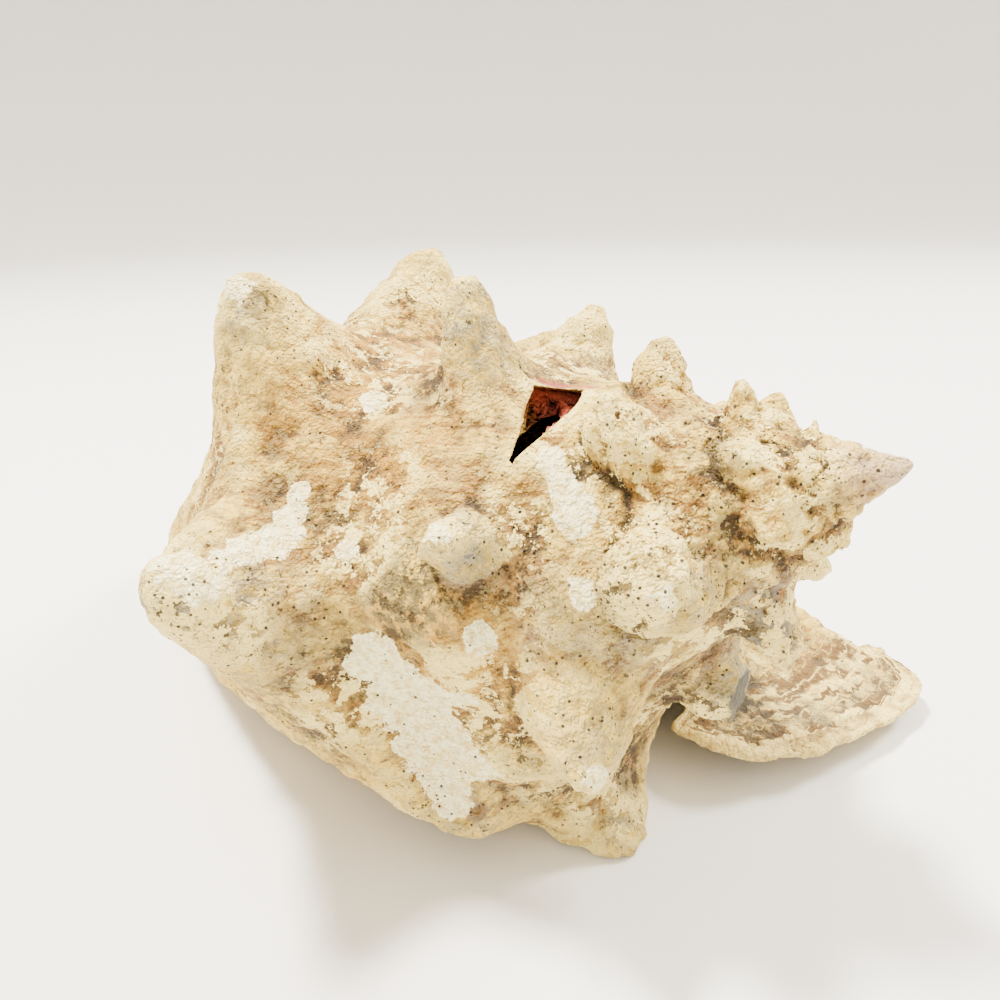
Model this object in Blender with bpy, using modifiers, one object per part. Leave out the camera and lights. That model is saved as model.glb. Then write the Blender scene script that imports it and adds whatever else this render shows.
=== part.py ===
"""Queen conch shell, an old beach-worn adult, lying on its lip with the spire to the right.

One grown piece: a strip of shell coiled about an axis, wider with every turn, with a row of blunt spines
along its shoulder, a last half turn that flares into a lip, a narrow slot cut high on the spire, and the
aperture open underneath. Metres, +Z up, +X towards the apex, standing on z = 0.
"""

import math

import bmesh
import bpy
import numpy as np

# Driving dimensions
SIZE = 0.095  # slant distance from the apex to the row of spine tips, at the reference angle
REFERENCE_ANGLE = 1080.0  # degrees along the coil
GROWTH = 1.637  # how much larger each turn is than the one before
CONE_HALF_ANGLE = math.radians(40.9)  # of the cone through the spine tips
AXIS_RISE = math.radians(27.6)  # the spire end of the axis is raised
ROLL = 2.2  # degrees about the axis, so that the wing's edge comes down to the table
APEX_HEIGHT = 0.0872
APEX_X = 0.1092
APEX_Y = -0.0092
WALL = 0.0045  # thickness of the shell
WEAR_DEPTH = 0.0004  # how far the worn flats are cut into the lowest places
WEAR_ROUNDING = 0.0014

COIL_START = -1800.0  # degrees, where the apex begins
CORE_END = 830.0  # the coil is grown solid up to here, and hollow after it
CORE_OVERLAP = 30.0
CORE_AXIS_RADIUS = 0.02  # of the local size, where the solid sections close
BODY_END = 1290.0  # the lip starts to flare here
ANGLE_STEP = 2.5
COLUMNS = 51
INNER_STEP = 6  # every sixth column of the outside has one at the axis
FLARE_ROWS = 44
PILLAR_ROWS = 36
PILLAR_SIDE = 30.0  # degrees

CANAL_BEND_START = 1.20 * SIZE  # distance from the apex where the front end starts to bend upwards
CANAL_BEND = 0.13 / SIZE  # rise per square of the distance beyond it

# How the lip leaves the coil: forwards late at the wing and early at the front
FORWARD_PLACES = (0.0, 0.5, 1.0)
FORWARD_POWERS = (6.0, 2.5, 1.3)
OUTWARD_POWER = 1.6

VOXEL = 0.0014
TRIANGLES = 9400
FLOOR_BLOCK = 0.4

SPINE_SPREAD = 0.085  # of the local size, how wide a spine is at half its height
SPINE_SLOPE = 1.4
SPINE_FULLNESS = 0.6  # of the round core that thickens each spine
SPINE_CORE = 1.0
TOWARDS_FRONT = 0.85  # how quickly a spine sinks into the section, on each side of the shoulder
TOWARDS_SPIRE = 1.24
TIP_BLUNTNESS = 0.38

# The low swelling where the wing's root thickens the body
CALLUS = 0.065 * SIZE
CALLUS_ANGLE = 1062.0
CALLUS_ARC = 24.0
CALLUS_PLACE = 0.30
CALLUS_SPREAD = 0.16

# The section of the coil: (place along the section, distance from the apex, distance from the axis),
# as fractions of the local size
SECTION = (
    (0.00, 0.455, 0.235),
    (0.08, 0.535, 0.300),
    (0.20, 0.68, 0.362),
    (0.30, 0.78, 0.415),
    (0.36, 0.84, 0.450),
    (0.44, 0.93, 0.462),
    (0.56, 1.10, 0.432),
    (0.68, 1.28, 0.387),
    (0.80, 1.47, 0.330),
    (0.90, 1.64, 0.262),
    (1.00, 1.80, 0.165),
)
SHOULDER = 0.36

# The margin of the lip, from the spire end of the wing to the front: (place along the section, angle,
# distance from the apex, distance from the axis), in the last two as multiples of SIZE
LIP_MARGIN = (
    (0.00, 1418.0, 0.78, 0.57),
    (0.07, 1420.0, 0.63, 0.64),
    (0.15, 1406.0, 0.49, 0.84),
    (0.22, 1394.0, 0.43, 1.05),
    (0.30, 1388.0, 0.53, 1.08),
    (0.44, 1383.0, 0.76, 1.02),
    (0.58, 1377.0, 1.05, 0.94),
    (0.70, 1371.0, 1.35, 0.82),
    (0.80, 1366.0, 1.62, 0.66),
    (0.90, 1361.0, 1.90, 0.48),
    (1.00, 1358.0, 2.20, 0.25),
)

# The pillar that the turns wind round: (distance from the apex, radius), in multiples of SIZE
PILLAR = (
    (0.00, 0.012),
    (0.05, 0.035),
    (0.60, 0.100),
    (1.30, 0.170),
    (1.80, 0.150),
    (2.12, 0.100),
    (2.34, 0.020),
)

# The spines that show: (angle along the coil, distance of the tip from the axis as a fraction of the
# cone's, distance of the tip from the apex as a fraction of the cone's)
SPINES = (
    (-330.0, 0.95, 1.0),
    (-270.0, 0.93, 1.0),
    (-215.0, 0.95, 1.0),
    (-165.0, 0.97, 1.0),
    (-115.0, 0.95, 1.0),
    (-65.0, 0.95, 1.0),
    (-15.0, 1.00, 1.0),
    (28.0, 0.95, 1.0),
    (78.0, 1.00, 1.0),
    (127.0, 1.00, 1.0),
    (175.0, 1.03, 1.0),
    (225.0, 1.00, 1.0),
    (272.0, 1.00, 1.0),
    (320.0, 1.04, 1.0),
    (368.0, 1.16, 1.0),
    (438.0, 1.10, 1.0),
    (500.0, 1.07, 1.0),
    (554.0, 0.98, 1.0),
    (608.0, 1.00, 1.0),
    (660.0, 1.02, 1.0),
    (713.0, 1.04, 1.0),
    (771.0, 1.13, 1.0),
    (826.0, 1.03, 1.0),
    (885.0, 1.10, 1.0),
    (934.0, 0.98, 1.0),
    (985.0, 1.00, 1.0),
    (1035.0, 1.02, 1.0),
    (1085.5, 0.97, 1.0),
    (1119.0, 0.81, 1.10),
    (1185.5, 0.98, 1.0),
    (1235.0, 0.96, 1.0),
    (1279.0, 0.92, 1.0),
    (1322.0, 1.02, 1.0),
)

# The slot knocked through the spire: (angle along the coil, distance from the apex, distance from the
# axis), the last two in multiples of SIZE
SLOT_CORNERS = (
    (849.0, 0.535, 0.303),
    (878.0, 0.537, 0.324),
    (899.0, 0.550, 0.322),
    (901.0, 0.508, 0.276),
    (878.0, 0.472, 0.255),
)
SLOT_DIRECTION = (0.52, -0.62, 0.58)
SLOT_OUTWARDS = 0.012
SLOT_INWARDS = 0.017


def clear_scene():
    for obj in list(bpy.data.objects):
        bpy.data.objects.remove(obj, do_unlink=True)


def local_size(angle):
    """How large the coil is at an angle, in metres."""
    return SIZE * GROWTH ** ((angle - REFERENCE_ANGLE) / 360.0)


def smooth_curve(keys, values, where):
    """A Catmull-Rom curve through the values, read at places along the keys."""
    keys = np.asarray(keys, float)
    values = np.asarray(values, float)
    slopes = np.gradient(values, keys)
    index = np.clip(np.searchsorted(keys, where, side="right") - 1, 0, len(keys) - 2)
    gap = keys[index + 1] - keys[index]
    x = (where - keys[index]) / gap
    return (
        (1 + 2 * x) * (1 - x) ** 2 * values[index]
        + x * (1 - x) ** 2 * gap * slopes[index]
        + x * x * (3 - 2 * x) * values[index + 1]
        + x * x * (x - 1) * gap * slopes[index + 1]
    )


def section_at(places):
    """(distance from the apex, distance from the axis) at places along the section, for a size of 1."""
    keys, along, out = zip(*SECTION)
    return smooth_curve(keys, along, places), smooth_curve(keys, out, places)


def margin_at(places):
    """(angle, distance from the apex, distance from the axis) of the lip's margin, in metres."""
    keys, angles, along, out = zip(*LIP_MARGIN)
    return (
        smooth_curve(keys, angles, places),
        smooth_curve(keys, along, places) * SIZE,
        smooth_curve(keys, out, places) * SIZE,
    )


def to_space(angle, along, out):
    """Points of the coil in the part's own frame, with the front end bent upwards."""
    turn = np.radians(angle + ROLL)
    up = -out * np.cos(turn) + CANAL_BEND * np.clip(along - CANAL_BEND_START, 0, None) ** 2
    near = out * np.sin(turn)
    x = APEX_X - along * math.cos(AXIS_RISE) - up * math.sin(AXIS_RISE)
    z = APEX_HEIGHT - along * math.sin(AXIS_RISE) + up * math.cos(AXIS_RISE)
    return np.stack(np.broadcast_arrays(x, APEX_Y - near, z), axis=-1)


def worn_underneath(points):
    """Lifts what would reach through the resting plane, so that the wall stays whole there."""
    height = (points[..., 2] + WEAR_DEPTH) / WEAR_ROUNDING
    points[..., 2] = np.logaddexp(0.0, height) * WEAR_ROUNDING - WEAR_DEPTH
    return points


def add_spines(angle, places, along, out):
    """Moves the points round each spine towards its tip."""
    base_along, base_out = section_at(np.array([SHOULDER]))
    for spine_angle, reach, advance in SPINES:
        size = local_size(spine_angle)
        tip_along = size * math.cos(CONE_HALF_ANGLE) * advance
        tip_out = size * math.sin(CONE_HALF_ANGLE) * reach
        across = np.radians(angle - spine_angle) * base_out[0] / SPINE_SPREAD
        lengthways = (places - SHOULDER) / SPINE_SPREAD
        lengthways = lengthways * np.where(lengthways > 0, TOWARDS_FRONT, TOWARDS_SPIRE)
        away = np.sqrt(across**2 + lengthways**2 + TIP_BLUNTNESS**2)
        share = np.exp(-SPINE_SLOPE * (away - TIP_BLUNTNESS))
        core = np.exp(-(across**2 + lengthways**2) / SPINE_CORE**2)
        share = share + SPINE_FULLNESS * core * (1 - share)
        along = along + share * (tip_along - base_along[0] * size)
        out = out + share * (tip_out - base_out[0] * size)
    across = (angle - CALLUS_ANGLE) / CALLUS_ARC
    lengthways = (places - CALLUS_PLACE) / CALLUS_SPREAD
    return along, out + CALLUS * np.exp(-(across**2) - lengthways**2)


def coil_grid(start, end):
    """Rows of surface points of the coil between two angles."""
    angles = np.arange(start, end + 0.5 * ANGLE_STEP, ANGLE_STEP)[:, None]
    places = np.linspace(0.0, 1.0, COLUMNS)[None, :]
    unit_along, unit_out = section_at(places)
    size = local_size(angles)
    along, out = add_spines(angles, places, unit_along * size, unit_out * size)
    return angles, along, out


def lip_grid():
    """Rows from the end of the body to the margin of the lip."""
    share = np.linspace(0.0, 1.0, FLARE_ROWS + 1)[1:, None]
    places = np.linspace(0.0, 1.0, COLUMNS)[None, :]
    last_angle, last_along, last_out = margin_at(places)
    angles = BODY_END + share * (last_angle - BODY_END)
    unit_along, unit_out = section_at(places)
    size = local_size(angles)
    along, out = add_spines(angles, places, unit_along * size, unit_out * size)
    forwards = share ** np.interp(places, FORWARD_PLACES, FORWARD_POWERS)
    outwards = share**OUTWARD_POWER
    return angles, along + forwards * (last_along - along), out + outwards * (last_out - out)


def mesh_from_rows(name, rows, closed=False):
    """A sheet through rows of points; a closed one joins its columns round and gets end caps."""
    count, width = rows.shape[:2]
    shape = bmesh.new()
    points = [[shape.verts.new(point) for point in row] for row in rows]
    for first, second in zip(points, points[1:]):
        for i in range(width if closed else width - 1):
            j = (i + 1) % width
            shape.faces.new((first[i], first[j], second[j], second[i]))
    if closed:
        shape.faces.new(points[0][::-1])
        shape.faces.new(points[-1])
    bmesh.ops.recalc_face_normals(shape, faces=shape.faces)
    mesh = bpy.data.meshes.new(name)
    shape.to_mesh(mesh)
    shape.free()
    return mesh


def add_object(name, mesh, collection):
    obj = bpy.data.objects.new(name, mesh)
    collection.objects.link(obj)
    return obj


def evaluated_mesh(obj):
    graph = bpy.context.evaluated_depsgraph_get()
    return bpy.data.meshes.new_from_object(obj.evaluated_get(graph))


def core_mesh():
    """The early turns, grown solid: each section is closed along the axis."""
    angles, along, out = coil_grid(COIL_START, CORE_END)
    outside = to_space(angles, along, out)
    inside = to_space(angles, along[:, ::-INNER_STEP], CORE_AXIS_RADIUS * local_size(angles))
    return mesh_from_rows("core", np.concatenate([outside, inside], axis=1), closed=True)


def wall_mesh(collection):
    """The later turns and the lip: a sheet of the outside, thickened inwards."""
    angles, along, out = coil_grid(CORE_END - CORE_OVERLAP, BODY_END)
    body = worn_underneath(to_space(angles, along, out))
    lip = worn_underneath(to_space(*lip_grid()))
    sheet = add_object("wall", mesh_from_rows("wall", np.concatenate([body, lip])), collection)
    thicken = sheet.modifiers.new("thicken", "SOLIDIFY")
    thicken.thickness = WALL
    thicken.offset = -1.0
    mesh = evaluated_mesh(sheet)
    bpy.data.objects.remove(sheet)
    return mesh


def pillar_mesh():
    """The pillar along the axis that the turns wind round."""
    along = np.linspace(0.0, PILLAR[-1][0], PILLAR_ROWS)[:, None]
    radius = smooth_curve(*zip(*PILLAR), along)
    angles = np.arange(0.0, 360.0, PILLAR_SIDE)[None, :]
    rows = to_space(angles, along * SIZE, radius * SIZE)
    return mesh_from_rows("pillar", rows, closed=True)


def joined(meshes):
    shape = bmesh.new()
    for mesh in meshes:
        shape.from_mesh(mesh)
    mesh = bpy.data.meshes.new("coil")
    shape.to_mesh(mesh)
    shape.free()
    return mesh


def slot_mesh():
    """A prism through the corners of the slot."""
    angles, along, out = np.array(SLOT_CORNERS).T
    corners = to_space(angles, along * SIZE, out * SIZE)
    direction = np.array(SLOT_DIRECTION)
    ends = [corners - direction * SLOT_INWARDS, corners + direction * SLOT_OUTWARDS]
    return mesh_from_rows("slot cutter", np.stack(ends), closed=True)


def floor_mesh():
    """A block under the resting plane, for the worn flats that the shell stands on."""
    shape = bmesh.new()
    bmesh.ops.create_cube(shape, size=FLOOR_BLOCK)
    bmesh.ops.translate(shape, verts=shape.verts, vec=(0.0, 0.0, -FLOOR_BLOCK / 2))
    mesh = bpy.data.meshes.new("floor cutter")
    shape.to_mesh(mesh)
    shape.free()
    return mesh


def cut_from(obj, name, mesh, collection):
    cutter = add_object(name, mesh, collection)
    cutter.hide_render = True
    cutter.display_type = "WIRE"
    cut = obj.modifiers.new(name, "BOOLEAN")
    cut.operation = "DIFFERENCE"
    cut.solver = "EXACT"
    cut.object = cutter


def chalky_shell():
    material = bpy.data.materials.new("weathered shell")
    material.use_nodes = True
    shader = material.node_tree.nodes["Principled BSDF"]
    shader.inputs["Base Color"].default_value = (0.68, 0.57, 0.42, 1.0)
    shader.inputs["Roughness"].default_value = 0.75
    shader.inputs["Metallic"].default_value = 0.0
    return material


def main():
    clear_scene()
    parts = bpy.data.collections.new("queen conch shell")
    cutters = bpy.data.collections.new("cutters")
    bpy.context.scene.collection.children.link(parts)
    bpy.context.scene.collection.children.link(cutters)

    shell = add_object("shell", joined([core_mesh(), wall_mesh(parts), pillar_mesh()]), parts)
    grown = shell.modifiers.new("grown together", "REMESH")
    grown.mode = "VOXEL"
    grown.voxel_size = VOXEL
    faces = len(evaluated_mesh(shell).polygons)
    plain = shell.modifiers.new("fewer faces", "DECIMATE")
    plain.ratio = TRIANGLES / (2 * faces)
    cut_from(shell, "slot", slot_mesh(), cutters)
    cut_from(shell, "resting plane", floor_mesh(), cutters)
    shell.data.materials.append(chalky_shell())
    shell.data.shade_smooth()


main()
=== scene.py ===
"""Queen conch shell, an old beach-worn adult lying on its lip: the surface and how it looks.

The shape is the same coil as the solid one, made with a finer skin: growth lines, lumps, crust, pits,
broken tips. Metres, +Z up. Every point of the skin knows where it lies on the coil, so that lines and
stains follow the way the shell grew.
"""

import math

import bmesh
import bpy
import numpy as np
from mathutils import Euler, Matrix, Vector, kdtree, noise


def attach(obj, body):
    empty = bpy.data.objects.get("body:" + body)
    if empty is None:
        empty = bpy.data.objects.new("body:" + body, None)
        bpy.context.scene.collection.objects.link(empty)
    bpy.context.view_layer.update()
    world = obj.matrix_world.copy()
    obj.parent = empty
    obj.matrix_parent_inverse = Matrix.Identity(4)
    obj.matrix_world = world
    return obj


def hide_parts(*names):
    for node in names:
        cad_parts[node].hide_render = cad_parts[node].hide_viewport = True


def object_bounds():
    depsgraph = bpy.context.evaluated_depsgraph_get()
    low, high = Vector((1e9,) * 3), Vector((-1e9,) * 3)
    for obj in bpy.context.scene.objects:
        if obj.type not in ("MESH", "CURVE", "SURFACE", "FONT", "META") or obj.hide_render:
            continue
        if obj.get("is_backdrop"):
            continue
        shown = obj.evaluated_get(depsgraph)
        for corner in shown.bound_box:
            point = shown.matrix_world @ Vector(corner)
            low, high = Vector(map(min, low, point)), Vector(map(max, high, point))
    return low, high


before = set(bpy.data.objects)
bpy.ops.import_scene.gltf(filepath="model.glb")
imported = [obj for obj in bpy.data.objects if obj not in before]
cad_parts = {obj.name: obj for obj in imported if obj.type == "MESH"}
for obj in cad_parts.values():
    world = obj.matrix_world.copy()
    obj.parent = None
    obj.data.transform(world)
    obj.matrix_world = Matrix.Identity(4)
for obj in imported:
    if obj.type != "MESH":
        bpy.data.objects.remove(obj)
low_corner, high_corner = (np.array(corner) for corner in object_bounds())

MM = 0.001

# ---- the coil, as in the solid
SIZE = 0.095  # slant distance from the apex to the row of spine tips, at the reference angle
REFERENCE_ANGLE = 1080.0
GROWTH = 1.637
CONE_HALF_ANGLE = math.radians(40.9)
AXIS_RISE = math.radians(27.6)
ROLL = 2.2
APEX = Vector((0.1092, -0.0092, 0.0872))
WALL = 0.0045
WEAR_DEPTH = 0.0004
WEAR_ROUNDING = 0.0014

COIL_START = -1800.0
CORE_END = 830.0
CORE_OVERLAP = 30.0
CORE_AXIS_RADIUS = 0.02
BODY_END = 1290.0
ANGLE_STEP = 1.5
COLUMNS = 121
INNER_STEP = 12
FLARE_ROWS = 90
PILLAR_ROWS = 36
PILLAR_SIDE = 20.0

CANAL_BEND_START = 1.20 * SIZE
CANAL_BEND = 0.13 / SIZE
FORWARD_PLACES = (0.0, 0.5, 1.0)
FORWARD_POWERS = (6.0, 2.5, 1.3)
OUTWARD_POWER = 1.6

SKIN = 1.1 * MM  # spacing of the skin's points

SPINE_SPREAD = 0.085
SPINE_SLOPE = 1.4
SPINE_FULLNESS = 0.6  # of the round core that thickens each spine
SPINE_CORE = 1.0
TOWARDS_FRONT = 0.85
TOWARDS_SPIRE = 1.24
TIP_BLUNTNESS = 0.38

CALLUS = 0.065 * SIZE
CALLUS_ANGLE = 1062.0
CALLUS_ARC = 24.0
CALLUS_PLACE = 0.30
CALLUS_SPREAD = 0.16

# (place along the section, distance from the apex, distance from the axis), of the local size
SECTION = (
    (0.00, 0.455, 0.235),
    (0.08, 0.535, 0.300),
    (0.20, 0.68, 0.362),
    (0.30, 0.78, 0.415),
    (0.36, 0.84, 0.450),
    (0.44, 0.93, 0.462),
    (0.56, 1.10, 0.432),
    (0.68, 1.28, 0.387),
    (0.80, 1.47, 0.330),
    (0.90, 1.64, 0.262),
    (1.00, 1.80, 0.165),
)
SHOULDER = 0.36

# (place along the section, angle, distance from the apex, distance from the axis), times SIZE
LIP_MARGIN = (
    (0.00, 1418.0, 0.78, 0.57),
    (0.07, 1420.0, 0.63, 0.64),
    (0.15, 1406.0, 0.49, 0.84),
    (0.22, 1394.0, 0.43, 1.05),
    (0.30, 1388.0, 0.53, 1.08),
    (0.44, 1383.0, 0.76, 1.02),
    (0.58, 1377.0, 1.05, 0.94),
    (0.70, 1371.0, 1.35, 0.82),
    (0.80, 1366.0, 1.62, 0.66),
    (0.90, 1361.0, 1.90, 0.48),
    (1.00, 1358.0, 2.20, 0.25),
)

# The pillar that the turns wind round: (distance from the apex, radius), times SIZE
PILLAR = (
    (0.00, 0.012),
    (0.05, 0.035),
    (0.60, 0.100),
    (1.30, 0.170),
    (1.80, 0.150),
    (2.12, 0.100),
    (2.34, 0.020),
)

# (angle along the coil, distance of the tip from the axis and from the apex as fractions of the cone's,
# breadth as a share of the usual one)
SPINES = (
    (-330.0, 0.95, 1.0, 1.0),
    (-270.0, 0.93, 1.0, 1.0),
    (-215.0, 0.95, 1.0, 1.0),
    (-165.0, 0.97, 1.0, 1.0),
    (-115.0, 0.95, 1.0, 1.0),
    (-65.0, 0.95, 1.0, 1.0),
    (-15.0, 1.00, 1.0, 1.0),
    (28.0, 0.95, 1.0, 1.0),
    (78.0, 1.00, 1.0, 1.0),
    (127.0, 1.00, 1.0, 0.8),
    (175.0, 1.03, 1.0, 1.0),
    (225.0, 1.00, 1.0, 1.0),
    (272.0, 1.00, 1.0, 1.0),
    (320.0, 1.04, 1.0, 1.0),
    (368.0, 1.16, 1.0, 0.9),
    (438.0, 1.03, 1.0, 1.25),
    (500.0, 1.07, 1.0, 1.0),
    (554.0, 0.98, 1.0, 1.0),
    (608.0, 1.00, 1.0, 1.0),
    (660.0, 1.02, 1.0, 1.0),
    (713.0, 1.04, 1.0, 1.0),
    (771.0, 1.13, 1.0, 1.0),
    (826.0, 1.03, 1.0, 0.45),
    (885.0, 1.10, 1.0, 0.85),
    (934.0, 0.98, 1.0, 1.0),
    (985.0, 1.00, 1.0, 1.0),
    (1035.0, 1.02, 1.0, 1.0),
    (1085.5, 0.97, 1.0, 1.0),
    (1119.0, 0.81, 1.10, 1.0),
    (1185.5, 0.98, 1.0, 1.0),
    (1235.0, 0.96, 1.0, 1.0),
    (1279.0, 0.92, 1.0, 1.0),
    (1322.0, 1.02, 1.0, 1.0),
)

SLOT_CORNERS = (
    (849.9, 0.537, 0.295),
    (851.7, 0.546, 0.300),
    (882.0, 0.540, 0.326),
    (892.4, 0.489, 0.271),
    (882.1, 0.471, 0.263),
)
SLOT_DIRECTION = (0.59, -0.73, 0.35)
SLOT_OUTWARDS = 0.012
SLOT_INWARDS = 0.0075
SLOT_DARKNESS = 30 * MM  # how far behind the slot its deeper red reaches: the red lining, painted darker as shade inside the shell


def local_size(angle):
    return SIZE * GROWTH ** ((angle - REFERENCE_ANGLE) / 360.0)


def smooth_curve(keys, values, where):
    """A Catmull-Rom curve through the values, read at places along the keys."""
    keys = np.asarray(keys, float)
    values = np.asarray(values, float)
    slopes = np.gradient(values, keys)
    index = np.clip(np.searchsorted(keys, where, side="right") - 1, 0, len(keys) - 2)
    gap = keys[index + 1] - keys[index]
    x = (where - keys[index]) / gap
    return (
        (1 + 2 * x) * (1 - x) ** 2 * values[index]
        + x * (1 - x) ** 2 * gap * slopes[index]
        + x * x * (3 - 2 * x) * values[index + 1]
        + x * x * (x - 1) * gap * slopes[index + 1]
    )


def section_at(places):
    keys, along, out = zip(*SECTION)
    return smooth_curve(keys, along, places), smooth_curve(keys, out, places)


def margin_at(places):
    keys, angles, along, out = zip(*LIP_MARGIN)
    return (
        smooth_curve(keys, angles, places),
        smooth_curve(keys, along, places) * SIZE,
        smooth_curve(keys, out, places) * SIZE,
    )


def to_space(angle, along, out):
    """Points of the coil in the shell's own frame, with the front end bent upwards."""
    turn = np.radians(angle + ROLL)
    up = -out * np.cos(turn) + CANAL_BEND * np.clip(along - CANAL_BEND_START, 0, None) ** 2
    near = out * np.sin(turn)
    x = APEX.x - along * math.cos(AXIS_RISE) - up * math.sin(AXIS_RISE)
    z = APEX.z - along * math.sin(AXIS_RISE) + up * math.cos(AXIS_RISE)
    return np.stack(np.broadcast_arrays(x, APEX.y - near, z), axis=-1)


def worn_underneath(points):
    height = (points[..., 2] + WEAR_DEPTH) / WEAR_ROUNDING
    points[..., 2] = np.logaddexp(0.0, height) * WEAR_ROUNDING - WEAR_DEPTH
    return points


def add_spines(angle, places, along, out):
    """Moves the points round each spine towards its tip."""
    base_along, base_out = section_at(np.array([SHOULDER]))
    for spine_angle, reach, advance, breadth in SPINES:
        size = local_size(spine_angle)
        tip_along = size * math.cos(CONE_HALF_ANGLE) * advance
        tip_out = size * math.sin(CONE_HALF_ANGLE) * reach
        across = np.radians(angle - spine_angle) * base_out[0] / SPINE_SPREAD / breadth
        lengthways = (places - SHOULDER) / SPINE_SPREAD / breadth
        lengthways = lengthways * np.where(lengthways > 0, TOWARDS_FRONT, TOWARDS_SPIRE)
        away = np.sqrt(across**2 + lengthways**2 + TIP_BLUNTNESS**2)
        share = np.exp(-SPINE_SLOPE * (away - TIP_BLUNTNESS))
        core = np.exp(-(across**2 + lengthways**2) / SPINE_CORE**2)
        share = share + SPINE_FULLNESS * core * (1 - share)
        along = along + share * (tip_along - base_along[0] * size)
        out = out + share * (tip_out - base_out[0] * size)
    across = (angle - CALLUS_ANGLE) / CALLUS_ARC
    lengthways = (places - CALLUS_PLACE) / CALLUS_SPREAD
    return along, out + CALLUS * np.exp(-(across**2) - lengthways**2)


def coil_grid(start, end):
    angles = np.arange(start, end + 0.5 * ANGLE_STEP, ANGLE_STEP)[:, None]
    places = np.linspace(0.0, 1.0, COLUMNS)[None, :]
    unit_along, unit_out = section_at(places)
    size = local_size(angles)
    along, out = add_spines(angles, places, unit_along * size, unit_out * size)
    return angles, along, out


def lip_grid():
    share = np.linspace(0.0, 1.0, FLARE_ROWS + 1)[1:, None]
    places = np.linspace(0.0, 1.0, COLUMNS)[None, :]
    last_angle, last_along, last_out = margin_at(places)
    angles = BODY_END + share * (last_angle - BODY_END)
    unit_along, unit_out = section_at(places)
    size = local_size(angles)
    along, out = add_spines(angles, places, unit_along * size, unit_out * size)
    forwards = share ** np.interp(places, FORWARD_PLACES, FORWARD_POWERS)
    outwards = share**OUTWARD_POWER
    return angles, along + forwards * (last_along - along), out + outwards * (last_out - out)


def mesh_from_rows(name, rows, closed=False):
    """A sheet through rows of points; a closed one joins its columns round and gets end caps."""
    count, width = rows.shape[:2]
    shape = bmesh.new()
    points = [[shape.verts.new(point) for point in row] for row in rows]
    for first, second in zip(points, points[1:]):
        for i in range(width if closed else width - 1):
            j = (i + 1) % width
            shape.faces.new((first[i], first[j], second[j], second[i]))
    if closed:
        shape.faces.new(points[0][::-1])
        shape.faces.new(points[-1])
    bmesh.ops.recalc_face_normals(shape, faces=shape.faces)
    mesh = bpy.data.meshes.new(name)
    shape.to_mesh(mesh)
    shape.free()
    return mesh


def add_object(name, mesh):
    obj = bpy.data.objects.new(name, mesh)
    bpy.context.scene.collection.objects.link(obj)
    return obj


def evaluated_mesh(obj):
    graph = bpy.context.evaluated_depsgraph_get()
    return bpy.data.meshes.new_from_object(obj.evaluated_get(graph))


def core_mesh():
    angles, along, out = coil_grid(COIL_START, CORE_END)
    outside = to_space(angles, along, out)
    inside = to_space(angles, along[:, ::-INNER_STEP], CORE_AXIS_RADIUS * local_size(angles))
    return mesh_from_rows("core", np.concatenate([outside, inside], axis=1), closed=True)


def wall_mesh():
    angles, along, out = coil_grid(CORE_END - CORE_OVERLAP, BODY_END)
    body = worn_underneath(to_space(angles, along, out))
    lip = worn_underneath(to_space(*lip_grid()))
    sheet = add_object("wall", mesh_from_rows("wall", np.concatenate([body, lip])))
    thicken = sheet.modifiers.new("thicken", "SOLIDIFY")
    thicken.thickness = WALL
    thicken.offset = -1.0
    mesh = evaluated_mesh(sheet)
    bpy.data.objects.remove(sheet)
    return mesh


def pillar_mesh():
    along = np.linspace(0.0, PILLAR[-1][0], PILLAR_ROWS)[:, None]
    radius = smooth_curve(*zip(*PILLAR), along)
    angles = np.arange(0.0, 360.0, PILLAR_SIDE)[None, :]
    rows = to_space(angles, along * SIZE, radius * SIZE)
    return mesh_from_rows("pillar", rows, closed=True)


def joined(meshes):
    shape = bmesh.new()
    for mesh in meshes:
        shape.from_mesh(mesh)
    mesh = bpy.data.meshes.new("coil")
    shape.to_mesh(mesh)
    shape.free()
    return mesh


def slot_mesh():
    angles, along, out = np.array(SLOT_CORNERS).T
    corners = to_space(angles, along * SIZE, out * SIZE)
    direction = np.array(SLOT_DIRECTION)
    ends = [corners - direction * SLOT_INWARDS, corners + direction * SLOT_OUTWARDS]
    return mesh_from_rows("slot cutter", np.stack(ends), closed=True)


def grown_mesh():
    """The whole shell as one skin, before it is weathered."""
    coil = add_object("coil", joined([core_mesh(), wall_mesh(), pillar_mesh()]))
    grown = coil.modifiers.new("grown together", "REMESH")
    grown.mode = "VOXEL"
    grown.voxel_size = SKIN
    mesh = evaluated_mesh(coil)
    bpy.data.objects.remove(coil)
    return mesh


def slotted(mesh):
    """The mesh with the slot through the wall of the spire."""
    shell = add_object("coil", mesh)
    cutter = add_object("slot cutter", slot_mesh())
    cut = shell.modifiers.new("slot", "BOOLEAN")
    cut.operation = "DIFFERENCE"
    cut.solver = "EXACT"
    cut.object = cutter
    mesh = evaluated_mesh(shell)
    bpy.data.objects.remove(shell)
    bpy.data.objects.remove(cutter)
    return mesh


# ---- where each point of the skin lies on the coil


def outside_sheet():
    """The outside of the shell as a grid of points with their angle and place."""
    angles, along, out = coil_grid(COIL_START, BODY_END)
    body = to_space(angles, along, out)
    lip_angles, along, out = lip_grid()
    lip = to_space(lip_angles, along, out)
    points = worn_underneath(np.concatenate([body, lip]))
    wide = np.broadcast_to(angles, (len(angles), COLUMNS))
    return points, np.concatenate([wide, lip_angles])


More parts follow.
